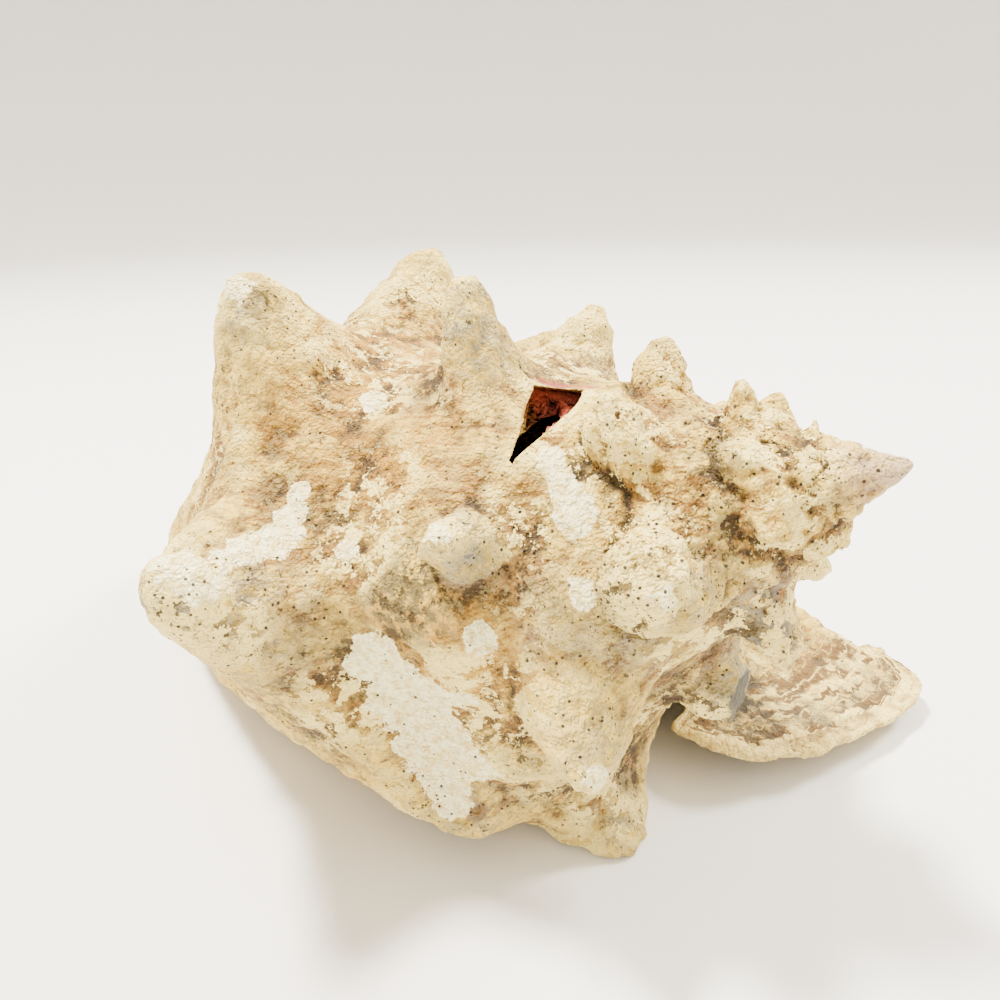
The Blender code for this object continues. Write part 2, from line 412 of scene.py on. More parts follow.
class Coil:
    """Finds where any point lies on the coil, from the nearest point of the outside sheet."""

    def __init__(self):
        self.points, self.angles = outside_sheet()
        rows, columns = self.angles.shape
        self.places = np.broadcast_to(np.linspace(0.0, 1.0, columns), (rows, columns))
        self.onwards = np.gradient(self.points, axis=0)
        self.forwards = np.gradient(self.points, axis=1)
        normals = np.cross(self.forwards, self.onwards)
        self.normals = normals / np.linalg.norm(normals, axis=-1, keepdims=True)
        steps = np.linalg.norm(np.diff(self.points, axis=0, append=self.points[-1:]), axis=-1)
        to_margin = np.cumsum(steps[::-1], axis=0)[::-1]
        steps = np.linalg.norm(np.diff(self.points, axis=1, prepend=self.points[:, :1]), axis=-1)
        from_back = np.where(self.angles > FREE_BACK, np.cumsum(steps, axis=1), 1.0)
        self.to_margin = np.minimum(to_margin, from_back)
        self.tree = kdtree.KDTree(rows * columns)
        for index, point in enumerate(self.points.reshape(-1, 3)):
            self.tree.insert(point, index)
        self.tree.balance()

    def locate(self, points):
        """Angle, place along the section, depth under the outside, way outwards, way to the margin."""
        nearest = np.array([self.tree.find(point)[1] for point in points])
        row, column = np.unravel_index(nearest, self.angles.shape)
        offset = points - self.points[row, column]
        onwards, forwards = self.onwards[row, column], self.forwards[row, column]
        step_on = np.clip((offset * onwards).sum(1) / (onwards**2).sum(1), -0.7, 0.7)
        step_fore = np.clip((offset * forwards).sum(1) / (forwards**2).sum(1), -0.7, 0.7)
        turn = np.gradient(self.angles, axis=0)[row, column]
        angle = self.angles[row, column] + turn * step_on
        place = self.places[row, column] + step_fore / (COLUMNS - 1)
        depth = -(offset * self.normals[row, column]).sum(1)
        return angle, place, depth, self.normals[row, column], self.to_margin[row, column]


def step(low, high, value):
    """0 below low, 1 above high, smooth between."""
    x = np.clip((value - low) / (high - low), 0.0, 1.0)
    return x * x * (3 - 2 * x)


def lumps(points, size, octaves=3, seed=0.0):
    """Cloudy noise from -1 to 1 with lumps of this size."""
    shift = Vector((seed, seed * 0.7, -seed))
    return np.array([noise.fractal(Vector(p) / size + shift, 1.0, 2.0, octaves) for p in points])


def cells(points, size, seed=0.0):
    """Distance to the nearest of scattered dots this far apart, as a share of the distance."""
    shift = Vector((seed, -seed, seed * 0.3))
    return np.array([noise.voronoi(Vector(p) / size + shift)[0][0] for p in points])


# ---- weathering

SEAM_ROUNDS = 60  # how far the seam between two turns is filled and worn smooth
SEAM_REACH = 6  # in steps of the skin, to each side of the seam
TRIANGLES = 192000
TURN_BULGE = 0.5  # mm that the spire's turns swell, and that the seams between them lie back
SEAM_GROOVE = 1.5
HOLLOW_ROUNDS = 60  # how wide the skin is smoothed to tell hollows from ridges
FINE_SPIRE = 600.0  # the turns before this angle get a finer skin

# Where the marks are: (angle, place, radius in mm, strength)
MARKS = {
    "crust": (
        (1205, 0.272, 2.4, 1.1),
        (1200, 0.274, 3.2, 1.1),
        (1195, 0.275, 3.6, 1.1),
        (1193, 0.284, 4.2, 1.0),
        (1192, 0.300, 3.4, 1.0),
        (1190, 0.310, 3.0, 0.8),
        (1188, 0.322, 3.4, 0.7),
        (1231, 0.194, 2.8, 1.1),
        (1190, 0.205, 2.6, 0.9),
        (851, 0.178, 2.6, 1.1),
        (844, 0.167, 2.4, 1.1),
        (837, 0.161, 2.8, 1.1),
        (830, 0.154, 3.4, 1.2),
        (804, 0.191, 3.0, 0.8),
        (828, 0.350, 3.0, 0.7),
        (1166, 0.228, 4.8, 1.1),
        (1163, 0.255, 4.8, 1.0),
        (1159, 0.236, 5.4, 1.1),
        (1151, 0.272, 6.4, 0.95),
        (1146, 0.274, 6.0, 1.0),
        (1152, 0.208, 4.8, 0.85),
        (1141, 0.250, 6.4, 0.95),
        (1134, 0.273, 6.0, 1.0),
        (1128, 0.261, 5.0, 0.8),
        (1138, 0.297, 6.4, 1.0),
        (1130, 0.312, 6.0, 0.9),
        (1148, 0.240, 6.0, 0.9),
        (1125, 0.330, 5.0, 0.8),
        (1189, 0.336, 5.0, 0.8),
        (1186, 0.318, 4.6, 0.7),
        (1163, 0.091, 3.4, 0.8),
        (1148, 0.169, 3.6, 0.6),
        (770, 0.335, 3.4, 0.7),
        (440, 0.350, 2.4, 0.6),
        (1233, 0.350, 4.6, 0.7),
    ),
    "ochre": (
        (1209, 0.168, 7.0, 1.0),
        (1242, 0.290, 6.0, 0.6),
        (1217, 0.105, 7.0, 0.8),
        (1224, 0.307, 4.0, 0.8),
        (1168, 0.158, 8.0, 1.2),
        (1165, 0.111, 8.0, 1.2),
        (1163, 0.134, 8.0, 1.2),
        (790, 0.380, 4.0, 0.8),
        (1250, 0.250, 12.0, 0.9),
    (1235, 0.200, 10.0, 0.8),
    (1215, 0.230, 9.0, 0.6),
        (813, 0.382, 6.0, 0.8),
        (1262, 0.250, 12.0, 0.6),
        (1221, 0.279, 9.0, 0.5),
        (885, 0.300, 5.0, 0.3),
        (446, 0.440, 5.0, 0.5),
    ),
    "grey": (
        (824, 0.331, 6.0, 1.1),
        (823, 0.354, 5.0, 1.0),
        (1186, 0.344, 9.0, 1.0),
        (1184, 0.310, 9.0, 0.8),
        (1176, 0.320, 10.0, 0.6),
        (1230, 0.345, 5.0, 0.9),
        (880, 0.345, 8.0, 1.1),
        (880, 0.306, 7.0, 0.9),
        (715, 0.300, 9.0, 1.0),
        (378, 0.340, 7.0, 1.0),
        (435, 0.306, 6.0, 0.7),
        (770, 0.321, 8.0, 0.6),
        (124, 0.350, 3.0, 1.0),
        (1088, 0.306, 9.0, 0.7),
        (388, 0.256, 6.0, 0.9),
        (782, 0.164, 8.0, 0.7),
        (791, 0.261, 8.0, 0.6),
        (1122, 0.335, 8.0, 0.6),
        (928, 0.280, 7.0, 0.5),
    ),
    # dirt marks: partly real dirt, partly painted shade laid in the hollows and valleys between the
    # spines
    "dirt_and_shade": (
        (1177, 0.143, 8.0, 1.7),
        (1174, 0.166, 7.0, 1.3),
        (821, 0.430, 7.0, 1.5),
        (818, 0.445, 7.0, 1.2),
        (1184, 0.352, 3.0, 1.6),
        (1179, 0.330, 2.4, 1.3),
        (1176, 0.325, 2.4, 1.3),
        (1171, 0.308, 3.0, 1.2),
        (1167, 0.362, 6.0, 0.9),
        (1154, 0.402, 8.0, 0.8),
        (1171, 0.278, 8.0, 0.5),
        (880, 0.468, 3.4, 1.3),
        (872, 0.450, 3.0, 1.0),
        (1234, 0.329, 4.0, 0.9),
        (1269, 0.321, 4.0, 0.9),
        (446, 0.453, 4.0, 1.2),
        (440, 0.434, 5.0, 1.2),
        (127, 0.460, 2.4, 1.3),
        (428, 0.150, 4.0, 0.8),
        (1404, 0.100, 8.0, 0.9),
        (724, 0.378, 7.0, 1.6),
        (725, 0.317, 4.0, 0.8),
        (382, 0.415, 5.0, 1.3),
        (809, 0.273, 6.0, 0.8),
        (794, 0.289, 5.0, 0.7),
        (841, 0.116, 5.0, 0.8),
        (1129, 0.196, 9.0, 1.0),
        (1105, 0.240, 9.0, 1.1),
        (495, 0.341, 3.0, 0.8),
        (1083, 0.210, 12.0, 0.8),
        (783, 0.160, 9.0, 0.7),
    ),
}

# Ridges and hollows between the spines: (angle, place, radius in mm, height in mm)
SWELLS = (
    (1178, 0.160, 11.0, -3.2),
    (1163, 0.120, 11.0, -2.4),
    (1165, 0.240, 9.0, 2.0),
    (1153, 0.270, 9.0, 2.5),
    (1137, 0.300, 9.0, 3.0),
    (1122, 0.330, 8.0, 2.0),
    (1106, 0.240, 12.0, -5.0),
    (783, 0.180, 12.0, -3.0),
    (1129, 0.190, 10.0, -3.5),
    (807, 0.140, 10.0, -2.0),
    (1202, 0.280, 9.0, 1.5),
    (848, 0.300, 9.0, -2.5),
    (798, 0.300, 8.0, -2.5),
    (822, 0.440, 7.0, -1.5),
    (124, 0.355, 3.0, 1.6),
    (128, 0.450, 3.5, -1.6),
    (440, 0.440, 6.0, -3.0),
    (452, 0.400, 5.0, -1.5),
    (436, 0.360, 5.0, 1.2),
    (495, 0.360, 3.5, 1.2),
    (470, 0.355, 5.0, 1.4),
)

FREE_BACK = 1345.0  # from this angle on, the back edge of the lip is free too
THIN_MARGIN = 0.62  # how much of the wall is gone at the margin of the lip
MARGIN_WIDTH = 10 * MM
WAVY_MARGIN = 14 * MM
MARGIN_WAVES = 0.5 * MM

# Flat faces where tips have broken off: (angle, way the face looks, mm taken off, reach in mm)
BREAKS = (
    (713.0, (0.92, 0.05, -0.05), 3.0, 10.0),
    (368.0, (0.70, 0.15, -0.65), 1.4, 6.0),
)


def tip_point(angle):
    return spot_centre(angle, SHOULDER)


def broken_off(points):
    """The points with the broken tips cut flat, and 1 for points on the flat faces."""
    broken = np.zeros(len(points))
    for angle, way, taken, reach in BREAKS:
        way = np.array(way) / np.linalg.norm(way)
        centre = np.array(tip_point(angle))
        near = np.linalg.norm(points - centre, axis=1) < reach * MM
        support = ((points[near] - centre) @ way).max()
        beyond = ((points - centre) @ way - support + taken * MM) * near
        cut = beyond > 0
        grain = lumps(points[cut], 2.5 * MM, 3, seed=3.0) * 0.15 * MM
        points[cut] -= way * (beyond[cut] - grain)[:, None]
        broken[cut] = 1.0
    return points, broken


def spot_centre(angle, place):
    """A point on the outside of the coil."""
    if angle > BODY_END:
        angles, along, out = lip_grid()
        column = round(place * (COLUMNS - 1))
        row = np.abs(angles[:, column] - angle).argmin()
        return to_space(angles[row, column], along[row, column], out[row, column])
    along, out = section_at(np.array([place]))
    size = local_size(angle)
    along, out = add_spines(np.array([angle]), np.array([place]), along * size, out * size)
    return to_space(angle, along[0], out[0])


def spots(points, marks):
    """Each mark's strength round its centre; where marks meet, the stronger one counts."""
    total = np.zeros(len(points))
    for angle, place, radius, strength in marks:
        away = np.linalg.norm(points - spot_centre(angle, place), axis=1) / (radius * MM)
        total = np.maximum(total, strength * np.exp(-(away**2)))
    return total


def swells(points):
    """Height of the ridges and hollows, in metres."""
    total = np.zeros(len(points))
    for angle, place, radius, height in SWELLS:
        away = np.linalg.norm(points - spot_centre(angle, place), axis=1) / (radius * MM)
        total += height * MM * np.exp(-(away**2))
    return total


def seam_nearness(first, second, angle):
    """1 where one turn meets the next, falling to 0 a few steps away."""
    near = np.zeros(len(angle))
    meets = np.abs(angle[first] - angle[second]) > 120.0
    near[first[meets]] = 1.0
    near[second[meets]] = 1.0
    for _ in range(SEAM_REACH):
        passed = near - 1.0 / SEAM_REACH
        spread = near.copy()
        np.maximum.at(spread, first, passed[second])
        np.maximum.at(spread, second, passed[first])
        near = spread
    return near


def smoothed(first, second, points, share, rounds):
    """Draws each point towards its neighbours, the more the larger its share."""
    count = np.bincount(np.concatenate([first, second]), minlength=len(points))[:, None]
    for _ in range(rounds):
        total = np.zeros_like(points)
        for axis in range(3):
            total[:, axis] += np.bincount(first, points[second, axis], len(points))
            total[:, axis] += np.bincount(second, points[first, axis], len(points))
        points = points + 0.6 * share[:, None] * (total / count - points)
    return points


def tip_nearness(angle, place):
    """1 at the tips of the spines, falling to 0 between them."""
    base_out = section_at(np.array([SHOULDER]))[1][0]
    near = np.zeros(len(angle))
    for spine_angle, *_ in SPINES:
        across = np.radians(angle - spine_angle) * base_out / SPINE_SPREAD
        lengthways = (place - SHOULDER) / SPINE_SPREAD
        near = np.maximum(near, np.exp(-0.5 * (across**2 + lengthways**2)))
    return near


def set_attribute(mesh, name, values):
    values = np.asarray(values, np.float32)
    kind = "FLOAT" if values.ndim == 1 else "FLOAT_VECTOR"
    attribute = mesh.attributes.new(name, kind, "POINT")
    attribute.data.foreach_set("value" if values.ndim == 1 else "vector", values.ravel())


def points_of(mesh, name="co"):
    values = np.empty(len(mesh.vertices) * 3)
    mesh.vertices.foreach_get(name, values)
    return values.reshape(-1, 3)


def edges_of(mesh):
    edges = np.empty(len(mesh.edges) * 2, np.int64)
    mesh.edges.foreach_get("vertices", edges)
    return edges.reshape(-1, 2).T


def margin_thinness(to_margin):
    """The share of the wall that is gone near the free margin of the lip."""
    return THIN_MARGIN * (1 - step(0.0, MARGIN_WIDTH, to_margin))


def behind_slot(points, depth):
    """1 for points that lie behind the slot, as one looks into it."""
    way = np.array(SLOT_DIRECTION) / np.linalg.norm(SLOT_DIRECTION)
    sideways = np.cross(way, (0.0, 0.0, 1.0))
    upwards = np.cross(sideways, way)
    rim = np.array([to_space(angle, along * SIZE, out * SIZE) for angle, along, out in SLOT_CORNERS])
    centre = rim.mean(axis=0)
    rim, away = rim - centre, points - centre
    rim = np.stack([rim @ sideways, rim @ upwards], axis=1)
    place = np.stack([away @ sideways, away @ upwards], axis=1)
    turning = np.sign(np.cross(rim, np.roll(rim, -1, axis=0)).sum())
    within = np.full(len(points), -np.inf)
    for start, end in zip(rim, np.roll(rim, -1, axis=0)):
        side = (end - start) / np.linalg.norm(end - start)
        within = np.maximum(within, np.cross(place - start, side) * turning)
    behind = -(away @ way)
    under_skin = np.maximum(step(0.7 * MM, 1.5 * MM, depth), step(6.0 * MM, 8.0 * MM, behind))
    within = (1 - step(1.0 * MM, 2.0 * MM, within)) * (behind < SLOT_DARKNESS)
    return within * step(-4.0 * MM, -2.0 * MM, behind) * under_skin


def hollowness(first, second, points, normals):
    """How deep each point lies under the smoothed skin round it: hollows above 0, ridges below, in mm."""
    even = smoothed(first, second, points, np.ones(len(points)), HOLLOW_ROUNDS)
    return ((even - points) * normals).sum(1) / MM


def filled_seams(mesh, coil):
    """Fills and rounds the seams between the turns, and raises the ridges between the spines."""
    points = points_of(mesh)
    angle, place, depth, outwards, to_margin = coil.locate(points)
    first, second = edges_of(mesh)
    seam = seam_nearness(first, second, angle)
    thinner = margin_thinness(to_margin) * np.clip(WALL - depth, 0, None)
    points = points + outwards * (swells(points) - thinner)[:, None]
    points = smoothed(first, second, points, np.sqrt(seam), SEAM_ROUNDS)
    mesh.vertices.foreach_set("co", points.ravel())
    mesh.update()
    return mesh


def finer_spire(mesh, coil):
    """Splits the faces of the spire, the part with the finest relief, and rounds them again."""
    angle = coil.locate(points_of(mesh))[0]
    shape = bmesh.new()
    shape.from_mesh(mesh)
    shape.verts.ensure_lookup_table()
    edges = [edge for edge in shape.edges if max(angle[v.index] for v in edge.verts) < FINE_SPIRE]
    bmesh.ops.subdivide_edges(shape, edges=edges, cuts=1, use_grid_fill=True, smooth=0.0)
    shape.to_mesh(mesh)
    shape.free()
    first, second = edges_of(mesh)
    points = points_of(mesh)
    fine = (coil.locate(points)[0] < FINE_SPIRE).astype(float)
    points = smoothed(first, second, points, fine, 1)
    mesh.vertices.foreach_set("co", points.ravel())
    mesh.update()
    return mesh


def thinned(mesh):
    """The mesh with fewer triangles where the skin is even."""
    shell = add_object("coil", mesh)
    triangles = sum(len(face.vertices) - 2 for face in mesh.polygons)
    fewer = shell.modifiers.new("thinned", "DECIMATE")
    fewer.ratio = min(1.0, TRIANGLES / triangles)
    mesh = evaluated_mesh(shell)
    bpy.data.objects.remove(shell)
    mesh.shade_smooth()
    return mesh


def weathered_mesh():
    coil = Coil()
    mesh = slotted(filled_seams(grown_mesh(), coil))
    mesh = finer_spire(mesh, coil)
    points = points_of(mesh)
    normals = points_of(mesh, "normal")
    angle, place, depth, outwards, to_margin = coil.locate(points)
    thinness = margin_thinness(to_margin)
    depth = (depth + swells(points) - thinness * WALL) / (1 - thinness)
    first, second = edges_of(mesh)
    seam = seam_nearness(first, second, angle)
    size = local_size(angle)
    covered = step(0.70, 0.76, place) * (1 - step(1040.0, 1060.0, angle))
    facing = (normals * outwards).sum(1)
    inner = step(0.35 * WALL, 0.7 * WALL, depth) * step(0.03, 0.09, place) * (1 - step(-0.2, 0.3, facing))
    inside = np.maximum(inner, covered) * (1 - step(0.3, 0.8, seam) * (1 - step(900.0, 1000.0, angle)))
    inside = inside * step(465.0, 485.0, angle)
    dark = behind_slot(points, depth)
    apex = 1 - step(5 * MM, 15 * MM, np.linalg.norm(points - np.array(APEX), axis=1))
    outside = 1 - inside
    tips = tip_nearness(angle, place)

    across = np.radians(angle) * 0.45 * size
    lengthways = place * 1.4 * size
    spire = 1 - step(500.0, 900.0, angle)

    rough = lumps(points, 13 * MM, 4)
    fine = lumps(points, 3.6 * MM, 3, seed=4.0)
    grown = np.array(
        [noise.noise(Vector((u / (2.6 * MM), v / (40 * MM), 0.0))) for u, v in zip(across, lengthways)]
    )
    unswollen = points - outwards * swells(points)[:, None]
    crust = step(0.35, 0.60, spots(unswollen, MARKS["crust"]))
    pits = 1 - step(0.10, 0.45, cells(points, 3.4 * MM, seed=2.0))
    small_pits = 1 - step(0.15, 0.50, cells(points, 1.9 * MM, seed=6.0))
    lift = 0.9 * rough + 0.50 * fine + 0.30 * grown * (1 - spire) * (1 - seam) + 0.4 * crust
    turn_size = spire * size / (40 * MM)
    lift = lift + turn_size * (TURN_BULGE * np.exp(-(((place - 0.30) / 0.11) ** 2)) - SEAM_GROOVE * seam)
    lift = lift - pits * (0.25 + 0.45 * spire) - small_pits * 0.35 * spire + 0.35 * tips * fine
    lift = lift * outside * MM
    points = points + normals * lift[:, None]
    wavy = 1 - step(0.0, WAVY_MARGIN, to_margin)
    points = points + outwards * (MARGIN_WAVES * wavy * lumps(points, 9 * MM, 2, seed=8.0))[:, None]
    points, broken = broken_off(points)
    points = np.clip(points, low_corner + 0.05 * MM, high_corner - 0.05 * MM)
    mesh.vertices.foreach_set("co", points.ravel())
    hollow = hollowness(first, second, points, normals)

    # hollow and low darken the colour, painted shade in hollows and low spots; crest lightens it, painted
    # highlight on the ridges
    set_attribute(mesh, "hollow", step(0.0, 0.5, hollow) * outside)
    set_attribute(mesh, "crest", step(0.05, 0.7, -hollow) * outside)
    set_attribute(mesh, "coil", np.stack([across, lengthways, depth], axis=1) / MM)
    set_attribute(mesh, "inside", inside)
    set_attribute(mesh, "slot", dark)
    set_attribute(mesh, "apex", apex)
    set_attribute(mesh, "tips", tips)
    set_attribute(mesh, "spire", spire)
    set_attribute(mesh, "seam", seam)
    set_attribute(mesh, "broken", broken)
    set_attribute(mesh, "margin", to_margin / MM)
    set_attribute(mesh, "low", step(0.1, 0.9, -lift / MM))
    bored = np.maximum(spire, 0.9 * tips) + 0.25
    set_attribute(mesh, "bored", np.clip(bored, 0.0, 1.0))
    for name, marks in MARKS.items():
        set_attribute(mesh, name, spots(unswollen, marks))
    return thinned(mesh)


# ---- looks


def colour(text):
    """A colour written as sRGB hex, as the linear values that the shader takes."""
    parts = [int(text[i : i + 2], 16) / 255 for i in (1, 3, 5)]
    linear = [c / 12.92 if c <= 0.04045 else ((c + 0.055) / 1.055) ** 2.4 for c in parts]
    return (*linear, 1.0)


def add(tree, kind, inputs=(), **settings):
    """Adds a node with its settings, and links or sets its inputs."""
    made = tree.nodes.new(kind)
    for name, value in settings.items():
        setattr(made, name, value)
    for socket, value in dict(inputs).items():
        if isinstance(value, bpy.types.NodeSocket):
            tree.links.new(value, made.inputs[socket])
        else:
            made.inputs[socket].default_value = value
    return made


def marked(tree, name):
    return add(tree, "ShaderNodeAttribute", attribute_name=name).outputs["Fac"]


def sums(tree, operation, first, second):
    return add(tree, "ShaderNodeMath", {0: first, 1: second}, operation=operation).outputs[0]


def stretched(tree, value, low, high, to_low=0.0, to_high=1.0):
    values = {"Value": value, "From Min": low, "From Max": high, "To Min": to_low, "To Max": to_high}
    ranged = add(tree, "ShaderNodeMapRange", values, interpolation_type="SMOOTHSTEP")
    return ranged.outputs[0]


def mixed(tree, share, first, second):
    return add(tree, "ShaderNodeMix", {0: share, 6: first, 7: second}, data_type="RGBA").outputs[2]


def cloud(tree, vector, size, detail=3.0, roughness=0.5):
    """Noise from about 0.3 to 0.7, with clouds of this size in mm."""
    values = {
        "Vector": vector,
        "Scale": 1.0 / size,
        "Detail": detail,
        "Roughness": roughness,
    }
    return add(tree, "ShaderNodeTexNoise", values).outputs[0]


def pinholes(tree, place, apart, share):
    """Round holes this many mm apart; only this share of them is there."""
    dots = add(tree, "ShaderNodeTexVoronoi", {"Vector": place, "Scale": 1 / apart, "Randomness": 0.9})
    kept = add(tree, "ShaderNodeSeparateColor", {0: dots.outputs["Color"]}).outputs[0]
    round_holes = stretched(tree, dots.outputs["Distance"], 0.14, 0.23, 1.0, 0.0)
    return sums(tree, "MULTIPLY", round_holes, sums(tree, "LESS_THAN", kept, share))


def shell_material():
    """Old conch shell: calcium carbonate, chalked by sun and sand outside, still glossy inside."""
    material = bpy.data.materials.new("weathered shell")
    material.use_nodes = True
    tree = material.node_tree
    tree.nodes.clear()
    place = add(tree, "ShaderNodeTexCoord").outputs["Object"]
    place = add(tree, "ShaderNodeVectorMath", {0: place, "Scale": 1 / MM}, operation="SCALE").outputs[0]
    coil = add(tree, "ShaderNodeAttribute", attribute_name="coil").outputs["Vector"]
    grain_way = add(
        tree, "ShaderNodeVectorMath", {0: coil, 1: (1.0, 0.12, 0.0)}, operation="MULTIPLY"
    ).outputs[0]

    # Tan and ivory chalk in clouds, the ivory in flakes with ragged edges
    hollow, crest = marked(tree, "hollow"), marked(tree, "crest")
    fibres = sums(tree, "MULTIPLY", cloud(tree, grain_way, 3.0, 4.0, 0.7), 0.5)
    patches = sums(tree, "MULTIPLY", cloud(tree, place, 7.0, 5.0, 0.7), 0.5)
    patches = sums(tree, "ADD", patches, fibres)
    # painted shade: the tan clouds darken a little in hollows; painted highlight: they pale on the crests
    patches = sums(tree, "ADD", patches, sums(tree, "MULTIPLY", hollow, 0.05))
    patches = sums(tree, "SUBTRACT", patches, sums(tree, "MULTIPLY", crest, 0.10))
    patches = stretched(tree, patches, 0.44, 0.57)
    body = mixed(tree, patches, colour("#E6C254"), colour("#966A20"))
    fine_patches = stretched(tree, cloud(tree, place, 2.0, 3.0, 0.72), 0.44, 0.60)
    body = mixed(tree, sums(tree, "MULTIPLY", fine_patches, 0.55), body, colour("#5C4014"))
    # Growth lines, showing as fibres where the layer has peeled
    lines = stretched(tree, cloud(tree, grain_way, 1.3, 3.0, 0.65), 0.48, 0.66)
    peeled = stretched(tree, cloud(tree, place, 16.0, 3.0), 0.46, 0.60, 0.0, 0.8)
    peeled = sums(tree, "MULTIPLY", peeled, stretched(tree, marked(tree, "tips"), 0.1, 0.8, 1.0, 0.1))
    peeled = sums(tree, "MULTIPLY", peeled, stretched(tree, marked(tree, "spire"), 0.0, 0.6, 1.0, 0.0))
    peeled = sums(tree, "MULTIPLY", peeled, stretched(tree, marked(tree, "seam"), 0.0, 0.6, 1.0, 0.0))
    body = mixed(tree, sums(tree, "MULTIPLY", lines, peeled), body, colour("#5A3A0C"))
    ochre = stretched(tree, cloud(tree, place, 3.0, 4.0, 0.7), 0.36, 0.58)
    ochre = sums(tree, "MULTIPLY", marked(tree, "ochre"), ochre)
    body = mixed(tree, ochre, body, colour("#C08A1E"))
    # Grey chalk on the knobs; dark brown from the dirt marks, the hollows and the low spots, partly real
    # dirt and partly painted shade
    mottled = cloud(tree, place, 2.6, 3.0, 0.72)
    grey = sums(tree, "MULTIPLY", marked(tree, "grey"), stretched(tree, mottled, 0.38, 0.58))
    body = mixed(tree, grey, body, colour("#7A786C"))
    dirt_and_shade = sums(tree, "ADD", marked(tree, "dirt_and_shade"), sums(tree, "MULTIPLY", marked(tree, "low"), 0.35))
    dirt_and_shade = sums(tree, "ADD", dirt_and_shade, sums(tree, "MULTIPLY", hollow, 0.7))
    dirt_and_shade = sums(tree, "MULTIPLY", dirt_and_shade, stretched(tree, mottled, 0.64, 0.42))
    body = mixed(tree, sums(tree, "MINIMUM", dirt_and_shade, 0.9), body, colour("#2C1F0B"))
    # painted highlight: more ivory flakes on the crests
    flakes = sums(tree, "ADD", cloud(tree, place, 4.0, 4.0, 0.78), sums(tree, "MULTIPLY", crest, 0.09))
    flakes = stretched(tree, flakes, 0.525, 0.550)
    scattered = stretched(tree, cloud(tree, place, 17.0, 2.0), 0.40, 0.60, 0.15, 1.0)
    body = mixed(tree, sums(tree, "MULTIPLY", flakes, scattered), body, colour("#F4DB82"))
    specks = stretched(tree, cloud(tree, place, 1.2, 2.0, 0.75), 0.36, 0.31)
    body = mixed(tree, sums(tree, "MULTIPLY", specks, 0.85), body, colour("#33240C"))

    # The margin of the lip keeps its brown growth bands on cream
    near_margin = stretched(tree, marked(tree, "margin"), 20.0, 32.0, 1.0, 0.0)
    wander = sums(tree, "MULTIPLY", cloud(tree, place, 20.0, 2.0, 0.45), 9.0)
    band_way = sums(tree, "ADD", marked(tree, "margin"), wander)
    band_way = add(tree, "ShaderNodeCombineXYZ", {0: band_way}).outputs[0]
    bands = stretched(tree, cloud(tree, band_way, 3.0, 3.0, 0.6), 0.45, 0.51)
    broken_bands = stretched(tree, cloud(tree, place, 9.0, 4.0, 0.72), 0.38, 0.50)
    bands = sums(tree, "MULTIPLY", bands, broken_bands)
    bands = sums(tree, "MULTIPLY", bands, stretched(tree, marked(tree, "margin"), 1.5, 4.0))
    wing = mixed(tree, stretched(tree, mottled, 0.40, 0.66), colour("#F8DF86"), colour("#CDAC5C"))
    wing = mixed(tree, bands, wing, colour("#6E5124"))
    # the wing darkens with the same dark brown: dirt, and painted shade in its hollows and low spots
    wing = mixed(tree, sums(tree, "MULTIPLY", dirt_and_shade, 0.9), wing, colour("#4A4030"))
    body = mixed(tree, near_margin, body, wing)

    # White crust in plates with ragged edges, standing a little proud
    ragged = sums(tree, "MULTIPLY", mottled, 0.8)
    crust = sums(tree, "ADD", marked(tree, "crust"), ragged)
    crust = stretched(tree, crust, 0.84, 0.86)
    crust_shade = stretched(tree, cloud(tree, place, 1.6, 2.0, 0.7), 0.36, 0.58)
    crust_body = mixed(tree, crust_shade, colour("#E8CE84"), colour("#FFF4BC"))
    body = mixed(tree, crust, body, crust_body)

    # Pinholes bored by sponge, about half a millimetre wide, a second finer sort on the spire, painted as
    # near-black dots: painted shade standing in for the depth of the holes
    thick = stretched(tree, cloud(tree, place, 10.0, 2.0), 0.47, 0.56, 0.02, 1.1)
    thick = sums(tree, "MULTIPLY", thick, marked(tree, "bored"))
    thick = sums(tree, "ADD", thick, sums(tree, "MULTIPLY", marked(tree, "spire"), 0.35))
    holes = pinholes(tree, place, 1.45, thick)
    fine_thick = stretched(tree, cloud(tree, place, 6.0, 2.0), 0.45, 0.55, 0.0, 1.0)
    fine_thick = sums(tree, "MULTIPLY", fine_thick, marked(tree, "spire"))
    all_holes = sums(tree, "MAXIMUM", holes, pinholes(tree, place, 0.95, fine_thick))
    body = mixed(tree, sums(tree, "MULTIPLY", all_holes, 0.95), body, colour("#140D06"))
    # The apex is rubbed pale
    rubbed = sums(tree, "MULTIPLY", marked(tree, "apex"), stretched(tree, mottled, 0.36, 0.54, 0.2, 0.9))
    # the pinholes on the rubbed apex are painted dark brown too, painted shade for the holes
    body = mixed(tree, rubbed, body, mixed(tree, holes, colour("#C4A98A"), colour("#2A1E12")))
    # A fresh break shows the grey inside of the wall
    body = mixed(tree, sums(tree, "MULTIPLY", marked(tree, "broken"), 0.9), body, colour("#2E2E2C"))

    inside = marked(tree, "inside")
    lining = stretched(tree, cloud(tree, place, 30.0), 0.4, 0.6)
    lining = mixed(tree, lining, colour("#A85A42"), colour("#BC8050"))
    body = mixed(tree, inside, body, lining)
    # behind the slot: the red lining, painted deeper as shade inside the shell
    body = mixed(tree, marked(tree, "slot"), body, colour("#A84C3A"))

    # Gritty chalk outside, smooth glaze inside
    grit = sums(tree, "MULTIPLY", cloud(tree, place, 0.9, 1.0, 0.75), 0.8)
    height = sums(tree, "ADD", grit, sums(tree, "MULTIPLY", mottled, 2.2))
    gritty = stretched(tree, inside, 0.0, 1.0, 1.0, 0.05)
    bump = add(tree, "ShaderNodeBump", {"Height": height, "Distance": MM, "Strength": gritty})

